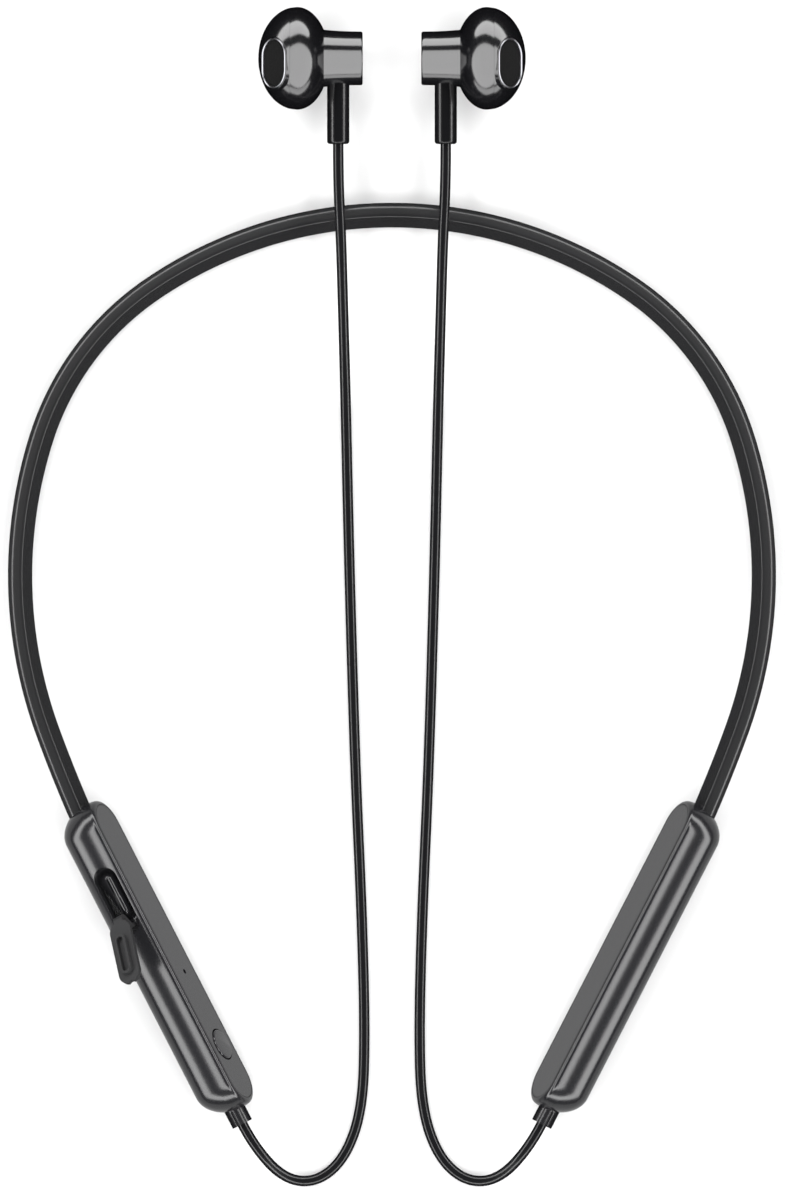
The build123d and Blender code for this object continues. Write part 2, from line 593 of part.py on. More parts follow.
def bud_parts():
    """Right bud with its widest place at x = HEAD_X and its axis on y = 0, z = 0."""
    shift = Pos(HEAD_X, 0, 0)
    barrel_r, bore_r = BARREL_DIAMETER / 2, BARREL_DIAMETER / 2 - BARREL_WALL
    barrel_start = BUD_INNER_X + CAP_THICK
    flare_r = barrel_r + BARREL_FLARE / 2
    barrel = turned(((barrel_start, 0), (HEAD_X, 0), (HEAD_X, flare_r), (barrel_start, barrel_r)))
    outside = shift * (half_head(True, 0) + half_head(False, 0)) + barrel
    inside = shift * (half_head(True, BUD_WALL) + half_head(False, BUD_WALL))
    inside += rod(bore_r, barrel_start - 1, HEAD_X)
    seam = HEAD_X + SEAM_AHEAD
    big = HEAD_DIAMETER
    ahead = block(seam, seam + big, -big, big, -big, big)

    port = Plane(
        (HEAD_X + PORT_AHEAD, -PORT_DOWN, PORT_UP),
        x_dir=(0, 1, 0),
        z_dir=(cos(radians(PORT_TURN)), 0, sin(radians(PORT_TURN))),
    )
    bore_long, bore_wide = PORT_LONG - 2 * PORT_RIM, PORT_WIDE - 2 * PORT_RIM
    lip_long, lip_wide = PORT_LONG + 2 * COLLAR_WALL, PORT_WIDE + 2 * COLLAR_WALL
    collar = oval(lip_long, lip_wide, -COLLAR_DEEP, -RIM_THICK, port)
    bore = oval(bore_long, bore_wide, -2 * COLLAR_DEEP, 1, port)
    above = oval(lip_long, lip_wide, -RIM_THICK, 3, port)
    grille_top = -RIM_THICK
    step = oval(PORT_LONG - PORT_RIM, PORT_WIDE - PORT_RIM, grille_top - GRILLE_THICK - HOLE_GAP, 0, port)
    front = (outside - inside) & ahead
    front = front + (collar & ahead) - above - bore - step
    rim = oval(PORT_LONG, PORT_WIDE, -RIM_THICK, 0, port)
    rim -= oval(bore_long, bore_wide, -RIM_THICK, 0, port)
    gap = 2 * HOLE_GAP
    grille = oval(
        PORT_LONG - PORT_RIM - gap, PORT_WIDE - PORT_RIM - gap, grille_top - GRILLE_THICK, grille_top, port
    )

    vent_back = sqrt(HEAD_REAR_EDGE**2 - VENT_BEHIND**2)
    vent_r = HEAD_DIAMETER / 2 - HEAD_REAR_EDGE + vent_back
    vent_up = sqrt(vent_r**2 - VENT_DOWN**2)
    outward = vent_back / vent_r
    normal = Vector(-VENT_BEHIND, -VENT_DOWN * outward, vent_up * outward)
    vent = Plane(
        (HEAD_X - VENT_BEHIND, -VENT_DOWN, vent_up), x_dir=normal.cross(Vector(1, 0, 0)), z_dir=normal
    )
    vent_hole = oval(VENT_LONG, VENT_WIDE, -2 * BUD_WALL, 1, vent)
    screen = oval(
        VENT_LONG - gap, VENT_WIDE - gap, -BUD_WALL / 2 - VENT_SCREEN, -BUD_WALL / 2, vent
    )
    stem_axis = Pos(STEM_X, 0, 0) * Rot(90, 0, 0)
    stem_hole = stem_axis * (Pos(0, 0, SIDE_Y) * Cylinder(STEM_DIAMETER / 2 + HOLE_GAP, 2 * SIDE_Y - 4))
    rear = outside - inside - ahead - vent_hole - stem_hole

    stem = Pos(0, 0, (STEM_TOP + STEM_END) / 2) * Cylinder(STEM_DIAMETER / 2, STEM_END - STEM_TOP)
    stem = fillet(stem.faces().sort_by(Axis.Z)[-1].edges(), STEM_EDGE)
    stem -= Pos(0, 0, (STEM_TOP + STEM_END) / 2) * Cylinder(LEAD_BORE / 2, STEM_END - STEM_TOP)
    stem = stem_axis * stem

    cap = rod(barrel_r, BUD_INNER_X, barrel_start)
    cap = fillet(cap.faces().sort_by(Axis.X)[0].edges(), CAP_EDGE)
    cap += rod(bore_r - HOLE_GAP, barrel_start, barrel_start + CAP_SPIGOT)
    clasp_start = barrel_start + CAP_SPIGOT + HOLE_GAP
    clasp = rod(CLASP_DIAMETER / 2, clasp_start, clasp_start + CLASP_THICK)

    # driver: frame and yoke in one, with the magnet on the yoke's floor and the coil in the gap
    frame_front = HEAD_X + FRAME_THICK / 2
    cone_x = frame_front - CONE_TRAVEL - CONE_CLEAR - CONE_THICK
    yoke_floor = frame_front - FRAME_THICK - YOKE_DEEP
    frame = rod(FRAME_RADIUS, frame_front - FRAME_THICK, frame_front)
    frame += rod(YOKE_RADIUS, yoke_floor, frame_front - FRAME_THICK)
    well = rod(FRAME_RADIUS - FRAME_RIM, frame_front - FRAME_THICK + YOKE_WALL, frame_front)
    well += rod(YOKE_RADIUS - YOKE_WALL, yoke_floor + YOKE_WALL, frame_front)
    frame -= well
    magnet = rod(MAGNET_RADIUS, yoke_floor + YOKE_WALL, frame_front - FRAME_THICK)
    cone = rod(FRAME_RADIUS - FRAME_RIM - CONE_CLEAR, cone_x, cone_x + CONE_THICK)
    coil = rod(COIL_RADIUS, cone_x - COIL_LONG, cone_x) - rod(COIL_RADIUS - COIL_WALL, cone_x - COIL_LONG, cone_x)
    return {
        "bud_front_shell": front,
        "bud_rear_shell": rear,
        "bud_nozzle_rim": rim,
        "bud_nozzle_grille": grille,
        "bud_vent_screen": screen,
        "bud_stem": stem,
        "bud_barrel_cap": cap,
        "bud_clasp_magnet": clasp,
        "bud_driver_frame": frame,
        "bud_driver_magnet": magnet,
        "bud_diaphragm": cone,
        "bud_voice_coil": coil,
    }


def cord(side, stem_end, boot_end, boot_way):
    """Tube from the stem to the boot: straight runs joined by arcs as large as the runs allow."""
    points = [Vector(-side * x, y, z) for x, y, z in CORD_POINTS]
    points = [stem_end, stem_end - Vector(0, CORD_FIRST_RUN, 0), *points]
    points += [boot_end - boot_way * CORD_LAST_RUN, boot_end]
    runs = [b - a for a, b in zip(points, points[1:])]
    turns = [a.get_angle(b) for a, b in zip(runs, runs[1:])]
    shorter = [min(a.length, b.length) for a, b in zip(runs, runs[1:])]
    radii = [ARC_SHARE * run / tan(radians(turn) / 2) for run, turn in zip(shorter, turns)]
    path = FilletPolyline(*points, radius=radii)
    start = Plane(points[0], z_dir=runs[0])
    tube = sweep(start * Circle(CORD_DIAMETER / 2), path=path)
    wanted = pi * CORD_DIAMETER**2 / 4 * path.length
    print("cord", side, "length", round(path.length, 2), "volume/wanted", round(tube.volume / wanted, 4))
    print("  runs", [round(run.length, 1) for run in runs])
    print("  turns", [round(turn, 1) for turn in turns])
    print("  radii", [round(radius, 1) for radius in radii])
    return tube


def model():
    nodes = {}
    nodes["band_sleeve"] = BAND_POSE * sleeve_lengths(band_section() - bores())
    nodes["band_memory_wire"] = BAND_POSE * along_band(Circle(WIRE_DIAMETER / 2), WIRE_PAST_SLEEVE, side=0)
    nodes["band_leads"] = BAND_POSE * along_band(leads(), LEAD_PAST_SLEEVE, side=0)

    to_pod = LEFT_POD.location.inverse() * BAND_POSE
    sleeve_hole = to_pod * along_band(band_section(SLEEVE_GAP), only_last=True)
    band_bores = to_pod * along_band(bores(), LEAD_PAST_SLEEVE, only_last=True)
    plain_shell = pod_shell(sleeve_hole)
    button_hole = disc(BUTTON_DIAMETER / 2 + BUTTON_GAP, COVER_LOW, FACE_Z, BUTTON_X)
    mic_hole = disc(MIC_HOLE / 2, COVER_LOW, FACE_Z, MIC_X)
    socket_shell, socket_tongue, contacts = socket()
    button, plunger, switch = button_parts()
    board, chips, aerial, gasket, mic = left_electronics()
    flap = OPENED * closed_flap()
    left = {
        "left_pod_shell": socket_details(plain_shell),
        "left_pod_cover": cover(button_hole + mic_hole),
        "left_cord_boot": boot(),
        "left_band_clamp": clamp(band_bores),
        "usb_socket_shell": socket_shell,
        "usb_socket_tongue": socket_tongue,
        "usb_contacts": contacts,
        "usb_flap": flap,
        "usb_flap_tether": tether(flap),
        "call_button": button,
        "button_plunger": plunger,
        "button_switch": switch,
        "main_board": board,
        "board_chips": chips,
        "aerial": aerial,
        "mic_gasket": gasket,
        "mic_capsule": mic,
    }
    cell, pad, protection = right_electronics()
    right = {
        "right_pod_shell": plain_shell,
        "right_pod_cover": cover(),
        "right_cord_boot": boot(),
        "right_band_clamp": clamp(band_bores),
        "battery_cell": cell,
        "battery_foam": pad,
        "battery_protection_board": protection,
    }
    for name, piece in left.items():
        nodes[name] = LEFT_POD.location * piece
    for name, piece in right.items():
        nodes[name] = mirror(LEFT_POD.location * piece, about=Plane.YZ)

    bud_place = Pos(0, BUD_Y, HEAD_DIAMETER / 2)
    for name, piece in bud_parts().items():
        nodes["right_" + name] = bud_place * piece
        nodes["left_" + name] = mirror(bud_place * piece, about=Plane.YZ)

    boot_end = LEFT_POD.from_local_coords(Vector(-END_X - BOOT_OUT, 0, BOOT_Z))
    for name, side in (("left_cord", -1), ("right_cord", 1)):
        stem_end = Vector(side * STEM_X, BUD_Y - STEM_END, HEAD_DIAMETER / 2)
        far_end = Vector(-side * boot_end.X, boot_end.Y, boot_end.Z)
        nodes[name] = cord(side, stem_end, far_end, Vector(-side * LEAN.X, LEAN.Y, 0))
    return nodes


def main():
    os.makedirs("parts", exist_ok=True)
    nodes = model()
    for name, piece in nodes.items():
        export_step(piece, f"parts/{name}.step")
    solid = Compound([p for n, p in nodes.items() if n not in ("left_cord", "right_cord")]).bounding_box()
    print(len(nodes), "nodes; box without cords", solid.min, solid.max)
    print("pod middle", POD_MIDDLE, "entry", ENTRY, "band tip", round(BAND_TIP, 3))
    print("flat face direction", FACE, "pod axis", LEAN)
    pivot = LEFT_POD.from_local_coords(Vector(PIVOT[0], PIVOT[1], SOCKET_Z))
    print("flap pivot", pivot)


main()
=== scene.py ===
import json
import math

import bmesh
import bpy
import numpy as np
from mathutils import Matrix


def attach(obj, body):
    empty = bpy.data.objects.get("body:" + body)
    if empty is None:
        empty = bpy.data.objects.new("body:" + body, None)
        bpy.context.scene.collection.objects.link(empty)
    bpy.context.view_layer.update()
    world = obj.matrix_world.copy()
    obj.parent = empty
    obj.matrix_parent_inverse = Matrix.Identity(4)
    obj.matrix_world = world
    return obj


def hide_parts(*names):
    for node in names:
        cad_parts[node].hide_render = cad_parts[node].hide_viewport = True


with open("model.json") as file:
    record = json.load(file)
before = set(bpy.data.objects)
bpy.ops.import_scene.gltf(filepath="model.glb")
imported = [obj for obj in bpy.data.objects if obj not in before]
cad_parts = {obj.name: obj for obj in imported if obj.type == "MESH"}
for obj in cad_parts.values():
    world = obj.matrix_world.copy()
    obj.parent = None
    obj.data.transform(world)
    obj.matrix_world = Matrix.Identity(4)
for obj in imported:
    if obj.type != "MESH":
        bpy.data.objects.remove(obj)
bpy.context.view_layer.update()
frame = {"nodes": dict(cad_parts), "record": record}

bl_info = {
    "name": "Neckband earphones",
    "version": (1, 0, 0),
    "blender": (4, 5, 0),
    "location": "View3D > Sidebar > Earphones",
    "description": "Builds the skins, finishes and studio of a pair of neckband earphones",
    "category": "Add Mesh",
}

MM = 0.001
SIDES = (("left", -1), ("right", 1))


def linear(code):
    """Linear red, green and blue of an sRGB hex colour."""
    srgb = np.array([int(code[i : i + 2], 16) for i in (1, 3, 5)]) / 255
    return tuple(np.where(srgb <= 0.04045, srgb / 12.92, ((srgb + 0.055) / 1.055) ** 2.4))


def length(label, words, default, low=0.0):
    """A length property, in metres, from a default in millimetres."""
    return bpy.props.FloatProperty(
        name=label, description=words, default=default * MM, min=low, precision=5, unit="LENGTH"
    )


def angle(label, words, default):
    """An angle property from a default in degrees."""
    return bpy.props.FloatProperty(
        name=label, description=words, default=math.radians(default), subtype="ANGLE"
    )


def colour(label, words, code):
    """A colour property from an sRGB hex code."""
    return bpy.props.FloatVectorProperty(
        name=label, description=words, default=linear(code), size=3, min=0, max=1, subtype="COLOR"
    )


class BandSettings(bpy.types.PropertyGroup):
    top_y: length("Top", "Middle of the band at the back of the neck, along Y", 62.15, -1.0)
    tall: length("Height", "Section height before it is tilted", 5.0)
    thick: length("Thickness", "Section thickness", 3.2)
    back: length("Back radius", "Radius of the two corners on the outer side", 1.55)
    edge: length("Edge radius", "Radius of the two corners on the flat inner side", 0.5)
    tilt: angle("Face tilt", "How far the flat inner faces look up", 22.0)
    end_z: length("End height", "Height of the band's ends and the pods' middles", 5.2708)


class PodSettings(bpy.types.PropertyGroup):
    long: length("Length", "Overall length of a pod", 60.0)
    wide: length("Width", "Across the flat face", 10.4)
    thick: length("Thickness", "From the flat face to the back", 8.2)
    back: length("Back radius", "Radius along the round back", 3.6)
    edge: length("Edge radius", "Radius along the flat face's border", 0.9)
    bow: angle("Bow", "How far the narrow sides turn from one edge to the other", 24.0)
    wall: length("Wall", "Wall thickness", 1.0)
    inset: length("Cover inset", "From the pod's side to the cover", 1.3)
    cover: length("Cover thickness", "Thickness of the cover", 1.0)
    gap: length("Cover gap", "Gap round the cover", 0.12)
    lean: angle("Lean", "Pod axis from the Y direction", 27.2)
    sleeve: length("Sleeve depth", "Length of the band inside a pod", 6.0)


class BudSettings(bpy.types.PropertyGroup):
    y: length("Axis Y", "Earbud axis along Y", 89.3, -1.0)
    z: length("Axis height", "Earbud axis above the table", 9.0)
    head_x: length("Head X", "Widest place of the head", 16.67)
    head: length("Head radius", "Largest radius", 9.0)
    front: length("Front depth", "Head in front of its widest place", 6.75)
    rear: length("Rear depth", "Head behind its widest place", 5.7)
    seam: length("Seam", "Shell joint in front of the widest place", 1.2)
    wall: length("Wall", "Shell thickness", 0.9)
    barrel_x: length("Barrel start", "Start of the barrel behind its end cap", 5.74)
    barrel: length("Barrel radius", "Radius of the barrel", 4.7)
    port_x: length("Port ahead", "Middle of the sound port in front of the widest place", 4.1)
    port_y: length("Port along Y", "Middle of the sound port from the axis", -1.03, -9.0)
    port_z: length("Port height", "Middle of the sound port above the axis", 6.25)
    port_turn: angle("Port turn", "Port's axis from the bud's axis, up from the table", 40)
    port_long: length("Port length", "Outside of the port's ring", 8.9)
    port_wide: length("Port width", "Outside of the port's ring", 6.5)


class CordSettings(bpy.types.PropertyGroup):
    diameter: length("Diameter", "Cord diameter", 1.85)


class FinishSettings(bpy.types.PropertyGroup):
    rubber: colour("Silicone", "Neckband sleeve", "#2c2c2d")
    pod: colour("Pod plastic", "Pod shells and covers", "#19191b")
    bud: colour("Bud plastic", "Earbud shells", "#060607")
    cord: colour("Cord jacket", "Cord jacket", "#18181a")
    flap: colour("Flap rubber", "Flap of the charging socket", "#1e1e1f")
    floor: colour("Table", "Table top", "#d2d2d2")
    card: bpy.props.FloatProperty(
        name="Bounce card", description="Brightness of the card that the pods reflect", default=0.8, min=0
    )


GROUPS = {
    "ear_band": BandSettings,
    "ear_pod": PodSettings,
    "ear_bud": BudSettings,
    "ear_cord": CordSettings,
    "ear_finish": FinishSettings,
}


# ---------------------------------------------------------------- materials


def add_node(tree, kind, settings=None, links=None):
    """Adds a node, sets its attributes or inputs by name, and links its inputs to other sockets."""
    node = tree.nodes.new(kind)
    for key, value in (settings or {}).items():
        if isinstance(key, int) or key in node.inputs:
            node.inputs[key].default_value = value
        else:
            setattr(node, key, value)
    for key, socket in (links or {}).items():
        tree.links.new(socket, node.inputs[key])
    return node


def principled(name, rgb, **inputs):
    """A material with one principled shader; the shader's inputs are given with _ for a space."""
    made = bpy.data.materials.get(name)
    if made:
        return made
    made = bpy.data.materials.new(name)
    made.use_nodes = True
    shader = made.node_tree.nodes["Principled BSDF"]
    shader.inputs["Base Color"].default_value = (*rgb, 1)
    for key, value in inputs.items():
        shader.inputs[key.replace("_", " ")].default_value = value
    return made


def grained(name, rgb, grain, depth, **inputs):
    """principled() with a moulded grain: noise of that size, as a bump of that depth, both in metres."""
    fresh = bpy.data.materials.get(name) is None
    made = principled(name, rgb, **inputs)
    if fresh:
        tree = made.node_tree
        place = add_node(tree, "ShaderNodeTexCoord")
        look = {"Scale": 1 / grain, "Detail": 2.0}
        noise = add_node(tree, "ShaderNodeTexNoise", look, {"Vector": place.outputs["Object"]})
        bump = add_node(
            tree, "ShaderNodeBump", {"Strength": 1.0, "Distance": depth}, {"Height": noise.outputs["Fac"]}
        )
        tree.links.new(bump.outputs["Normal"], tree.nodes["Principled BSDF"].inputs["Normal"])
    return made


def silicone_rubber():
    """Black silicone rubber, moulded and lacquered satin: soft-edged highlights along the band."""
    finish = bpy.context.scene.ear_finish
    return principled("black silicone rubber, satin", finish.rubber, Roughness=0.2, IOR=1.48)


def moulded_abs():
    """Black ABS from a lightly textured mould: satin, with a faintly broken highlight."""
    finish = bpy.context.scene.ear_finish
    return grained("black ABS, satin moulded", finish.pod, 0.25 * MM, 0.0012 * MM, Roughness=0.18, IOR=1.54)


def polished_abs():
    """Black ABS from a polished mould: deep black, the lamps' reflections barely softened."""
    finish = bpy.context.scene.ear_finish
    return principled("black ABS, polished", finish.bud, Roughness=0.15, IOR=1.54)


def cord_jacket():
    """Black thermoplastic elastomer, extruded: smooth and satin, a line of light down each side."""
    finish = bpy.context.scene.ear_finish
    return principled("black elastomer jacket, extruded", finish.cord, Roughness=0.22, IOR=1.5)


def flap_rubber():
    """Dark grey silicone rubber, blasted mould: matt, hardly any highlight."""
    finish = bpy.context.scene.ear_finish
    return grained("dark grey silicone, matt", finish.flap, 0.15 * MM, 0.004 * MM, Roughness=0.65, IOR=1.43)


def soft_elastomer():
    """Black elastomer of boots and stems: satin, a little duller than the shells."""
    return principled("black elastomer, satin", linear("#141416"), Roughness=0.22, IOR=1.5)


def nickel_plate():
    """Nickel-plated pressed steel: bright, slightly soft reflections."""
    return principled("nickel-plated steel", linear("#e0dfdb"), Metallic=1.0, Roughness=0.45)


def smoked_chrome():
    """Thin dark-plated ring: a fine grey line of light round the nozzle."""
    return principled("black chrome", linear("#6c6c6f"), Metallic=1.0, Roughness=0.3)


def woven_mesh():
    """Fine black woven mesh of 0.3 mm pitch: mostly holes, so it is near black and hardly glossy."""
    made = bpy.data.materials.get("black woven steel mesh")
    if made:
        return made
    made = principled("black woven steel mesh", linear("#080808"), Roughness=0.8, IOR=1.12)
    tree = made.node_tree
    place = add_node(tree, "ShaderNodeTexCoord")
    weave = {"Scale": 1 / (0.3 * MM), "Randomness": 0.0}
    cells = add_node(tree, "ShaderNodeTexVoronoi", weave, {"Vector": place.outputs["Object"]})
    relief = {"Strength": 0.6, "Distance": 0.05 * MM}
    bump = add_node(tree, "ShaderNodeBump", relief, {"Height": cells.outputs["Distance"]})
    tree.links.new(bump.outputs["Normal"], tree.nodes["Principled BSDF"].inputs["Normal"])
    return made


def gold_plate():
    """Gold-plated contacts: warm and bright."""
    return principled("gold plate", linear("#d8b15a"), Metallic=1.0, Roughness=0.2)


def board_laminate():
    """Glass-epoxy laminate under green solder mask: smooth, slightly glossy."""
    return principled("glass epoxy, green solder mask", linear("#14502a"), Roughness=0.35, IOR=1.5)


def moulding_resin():
    """Black epoxy of chips: flat and dull."""
    return principled("black epoxy resin", linear("#1a1a1a"), Roughness=0.6)


def steatite():
    """White ceramic of the aerial: pale and matt."""
    return principled("white ceramic, fired", linear("#e4e2dc"), Roughness=0.5)


def foil_pouch():
    """Aluminium-laminate pouch of the cell: soft silver."""
    return principled("aluminium laminate foil", linear("#c4c6c8"), Metallic=1.0, Roughness=0.38)


def foam_strip():
    """Black polyurethane foam: no highlight at all."""
    return grained("black polyurethane foam", linear("#202020"), 0.4 * MM, 0.05 * MM, Roughness=0.95)


def enamelled_copper():
    """Enamelled copper winding: warm brown metal."""
    return principled("enamelled copper wire", linear("#b0602e"), Metallic=1.0, Roughness=0.3)


def polyester_film():
    """Thin polyester diaphragm: pale amber, glossy."""
    return principled("polyester film", linear("#b8a878"), Roughness=0.2, IOR=1.6)


def spring_wire():
    """Drawn spring steel: bright along its length."""
    return principled("drawn spring steel", linear("#a8a8a8"), Metallic=1.0, Roughness=0.3)


def lead_insulation():
    """Red fluoropolymer insulation of the leads: smooth."""
    return principled("red lead insulation", linear("#7c1518"), Roughness=0.35)


# ---------------------------------------------------------------- shapes


def legs(start, heading, parts, step):
    """Points of a plane line: each part is (length, turn); the heading grows evenly along a part, and the
    points are the running sum of step times (cos heading, sin heading)."""
    start_heading, pieces = heading, [np.array([[start[0], start[1]]], float)]
    at = np.array(start, float)
    for run, turn in parts:
        count = max(2, int(round(run / step)) if turn == 0 else int(round(max(run / step, abs(turn) / 0.12))))
        middles = start_heading + turn * (np.arange(count) + 0.5) / count
        sinc = np.sinc(turn / count / 2 / np.pi)
        steps = run / count * sinc * np.stack((np.cos(middles), np.sin(middles)), 1)
        pieces.append(at + np.cumsum(steps, 0))
        at, start_heading = pieces[-1][-1], start_heading + turn
    return np.concatenate(pieces)


def skin(name, rings, material, body, nodes=(), close=False, sharp=32.0):
    """A solid skin over rings of points, an array of rings by points by 3. Each ring is closed; with close
    the last ring joins the first. Otherwise a ring that isn't a point or a folded line gets a flat lid."""
    count, around = rings.shape[:2]
    ring = np.arange(count if close else count - 1)[:, None] * around
    at = np.arange(around)[None, :]
    after = (ring + around) % (count * around)
    faces = np.stack((ring + at, ring + (at + 1) % around, after + (at + 1) % around, after + at), -1)
    faces = [tuple(f) for f in faces.reshape(-1, 4).tolist()]
    if not close:
        faces += [tuple(range(around)), tuple(range((count - 1) * around, count * around))]
    mesh = bpy.data.meshes.new(name)
    mesh.from_pydata(rings.reshape(-1, 3).tolist(), [], faces)
    return finish_mesh(name, mesh, material, body, nodes, sharp)


def finish_mesh(name, mesh, material, body, nodes=(), sharp=32.0):
    """Merges doubles, turns the faces outwards, shades smooth up to the sharp angle and rides the body."""
    work = bmesh.new()
    work.from_mesh(mesh)
    bmesh.ops.remove_doubles(work, verts=work.verts, dist=2e-7)
    bmesh.ops.dissolve_degenerate(work, edges=work.edges, dist=1e-7)
    bmesh.ops.recalc_face_normals(work, faces=work.faces)
    if work.calc_volume(signed=True) < 0:
        bmesh.ops.reverse_faces(work, faces=work.faces)
    work.to_mesh(mesh)
    work.free()
    mesh.polygons.foreach_set("use_smooth", np.ones(len(mesh.polygons), bool))
    mesh.set_sharp_from_angle(angle=math.radians(sharp))
    mesh.materials.clear()
    mesh.materials.append(material)
    piece = bpy.data.objects.new(name, mesh)
    bpy.context.scene.collection.objects.link(piece)
    if body:
        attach(piece, body)
    if nodes:
        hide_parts(*nodes)
    return piece


def cut(piece, *cutters):
    """Takes closed pieces out of another, and removes them."""
    for cutter in cutters:
        cutter.hide_render = True
        tool = piece.modifiers.new("cut", "BOOLEAN")
        tool.operation, tool.object, tool.solver = "DIFFERENCE", cutter, "EXACT"
    ready = bpy.context.evaluated_depsgraph_get()
    mesh = bpy.data.meshes.new_from_object(piece.evaluated_get(ready))
    piece.modifiers.clear()
    material = piece.data.materials[0]
    old, piece.data = piece.data, mesh
    bpy.data.meshes.remove(old)
    mesh.materials.clear()
    mesh.materials.append(material)
    for cutter in cutters:
        bpy.data.objects.remove(cutter)
    mesh.polygons.foreach_set("material_index", np.zeros(len(mesh.polygons), np.int32))
    mesh.polygons.foreach_set("use_smooth", np.ones(len(mesh.polygons), bool))
    mesh.set_sharp_from_angle(angle=math.radians(32))
    return piece


def stadium(rho, z, half, reach=None, steps=48):
    """Rings of a flat-sided oval: (sign(cos t) * half + reach cos t, rho sin t, z), one ring per (rho, z).
    The reach of the round ends is rho unless it is given."""
    turn = np.linspace(-np.pi / 2, np.pi / 2, steps)
    turn = np.concatenate((turn, turn + np.pi))
    shift = np.repeat((half, -half), steps)
    rho, z = np.asarray(rho, float)[:, None], np.asarray(z, float)[:, None]
    reach = rho if reach is None else np.asarray(reach, float)[:, None]
    return np.stack(np.broadcast_arrays(shift + reach * np.cos(turn), rho * np.sin(turn), z), -1)


def turned(x, r, steps=128):
    """Rings of a turned solid about X: (x, r cos t, r sin t), one ring per (x, r)."""
    turn = np.linspace(0, 2 * np.pi, steps, endpoint=False)
    x, r = np.asarray(x, float)[:, None], np.asarray(r, float)[:, None]
    return np.stack(np.broadcast_arrays(x, r * np.cos(turn), r * np.sin(turn)), -1)


def placed(rings, origin, x_axis, z_axis):
    """Points carried from a local frame, given by its origin, x and z directions, into the row frame."""
    x_axis, z_axis = np.array(x_axis, float), np.array(z_axis, float)
    x_axis, z_axis = x_axis / np.linalg.norm(x_axis), z_axis / np.linalg.norm(z_axis)
    return np.array(origin) + rings @ np.stack((x_axis, np.cross(z_axis, x_axis), z_axis))


def mirrored(points, side):
    """The left half's points as they are, or mirrored in the plane x = 0 for the right half."""
    return points * np.array([-side, 1, 1])


def section(half_w, half_h, back, edge, step):
    """Closed outline: flat side with radius edge at +x, round side with radius back at -x."""
    quarter = math.pi / 2
    parts = (
        (2 * (half_h - edge), 0.0),
        (edge * quarter, quarter),
        (2 * half_w - edge - back, 0.0),
        (back * quarter, quarter),
        (2 * (half_h - back), 0.0),
        (back * quarter, quarter),
        (2 * half_w - edge - back, 0.0),
        (edge * quarter, quarter),
    )
    return legs((half_w, -(half_h - edge)), quarter, parts, step)[:-1]


def band_line():
    """Middle line of the left half from the back of the neck, as radius and turn of each arc, and the
    outward direction at each point."""
    arcs = ((74.9, 34.2), (50.0, 38.1), (80.0, 37.7), (250.0, 4.7))
    parts = [(r * MM * math.radians(turn), math.radians(turn)) for r, turn in arcs]
    line = legs((0.0, 0.0), math.pi, parts, 1.2 * MM)
    way = np.gradient(line, axis=0)
    way[0] = (-1, 0)
    way /= np.linalg.norm(way, axis=1)[:, None]
    return line, np.stack((way[:, 1], -way[:, 0]), 1)


def band_frame():
    """Height of the band's back on the table, and the turn about X that lifts its ends to the pods."""
    band = bpy.context.scene.ear_band
    line, _ = band_line()
    flat_thick, flat_tall = band.thick / 2 - band.back, band.tall / 2 - band.back
    base = flat_thick * math.sin(band.tilt) + flat_tall * math.cos(band.tilt) + band.back
    return base, math.atan2(band.end_z - base, -line[-1, 1])


def pod_frame():
    """Middle, long axis and flat-face direction of the left pod."""
    band, pod = bpy.context.scene.ear_band, bpy.context.scene.ear_pod
    line, _ = band_line()
    heading = (line[-1] - line[-2]) / np.linalg.norm(line[-1] - line[-2])
    end = np.array([line[-1, 0], band.top_y + line[-1, 1], band.end_z])
    lean = np.array([-math.sin(pod.lean), math.cos(pod.lean), 0])
    inward = np.array([math.cos(pod.lean), math.sin(pod.lean), 0])
    face = inward * math.cos(band.tilt) + np.array([0, 0, 1]) * math.sin(band.tilt)
    middle = end - np.append(heading, 0) * pod.sleeve - lean * pod.long / 2
    return middle, lean, face


# Openings in the left pod's side, in millimetres: radius of the round ends, floor from the pod's middle, half
# the distance between the ends' centres, place along the pod, and whether the slot stands across it.
OPENINGS = (
    (2.2, 4.3, 4.25, 12.35, False),
    (1.63, 1.0, 2.84, 13.15, False),
    (0.4, 1.0, 0.55, 7.4, True),
)
OPENING_Z = 0.84


def opening(end, floor, half, along, across):
    """Rings of a slot with round ends, in the pod's frame, from its floor out through the pod's side."""
    tool = stadium([0, end, end, 0], [floor, floor, 8, 8], half) * MM
    if across:
        tool = tool[..., [1, 0, 2]]
    return np.stack((tool[..., 0] + along * MM, tool[..., 2], OPENING_Z * MM - tool[..., 1]), -1)


def front_outline(bud):
    """Closed outline of the front shell, x and radius: x = front sin t, r = head cos t, and back inside."""
    rise = np.linspace(math.asin(bud.seam / bud.front), math.pi / 2, 48)
    inner = 1 - bud.wall / bud.head
    x = np.concatenate((bud.front * np.sin(rise), bud.front * inner * np.sin(rise[::-1])))
    r = np.concatenate((bud.head * np.cos(rise), bud.head * inner * np.cos(rise[::-1])))
    x[-1] = bud.seam
    return x, r


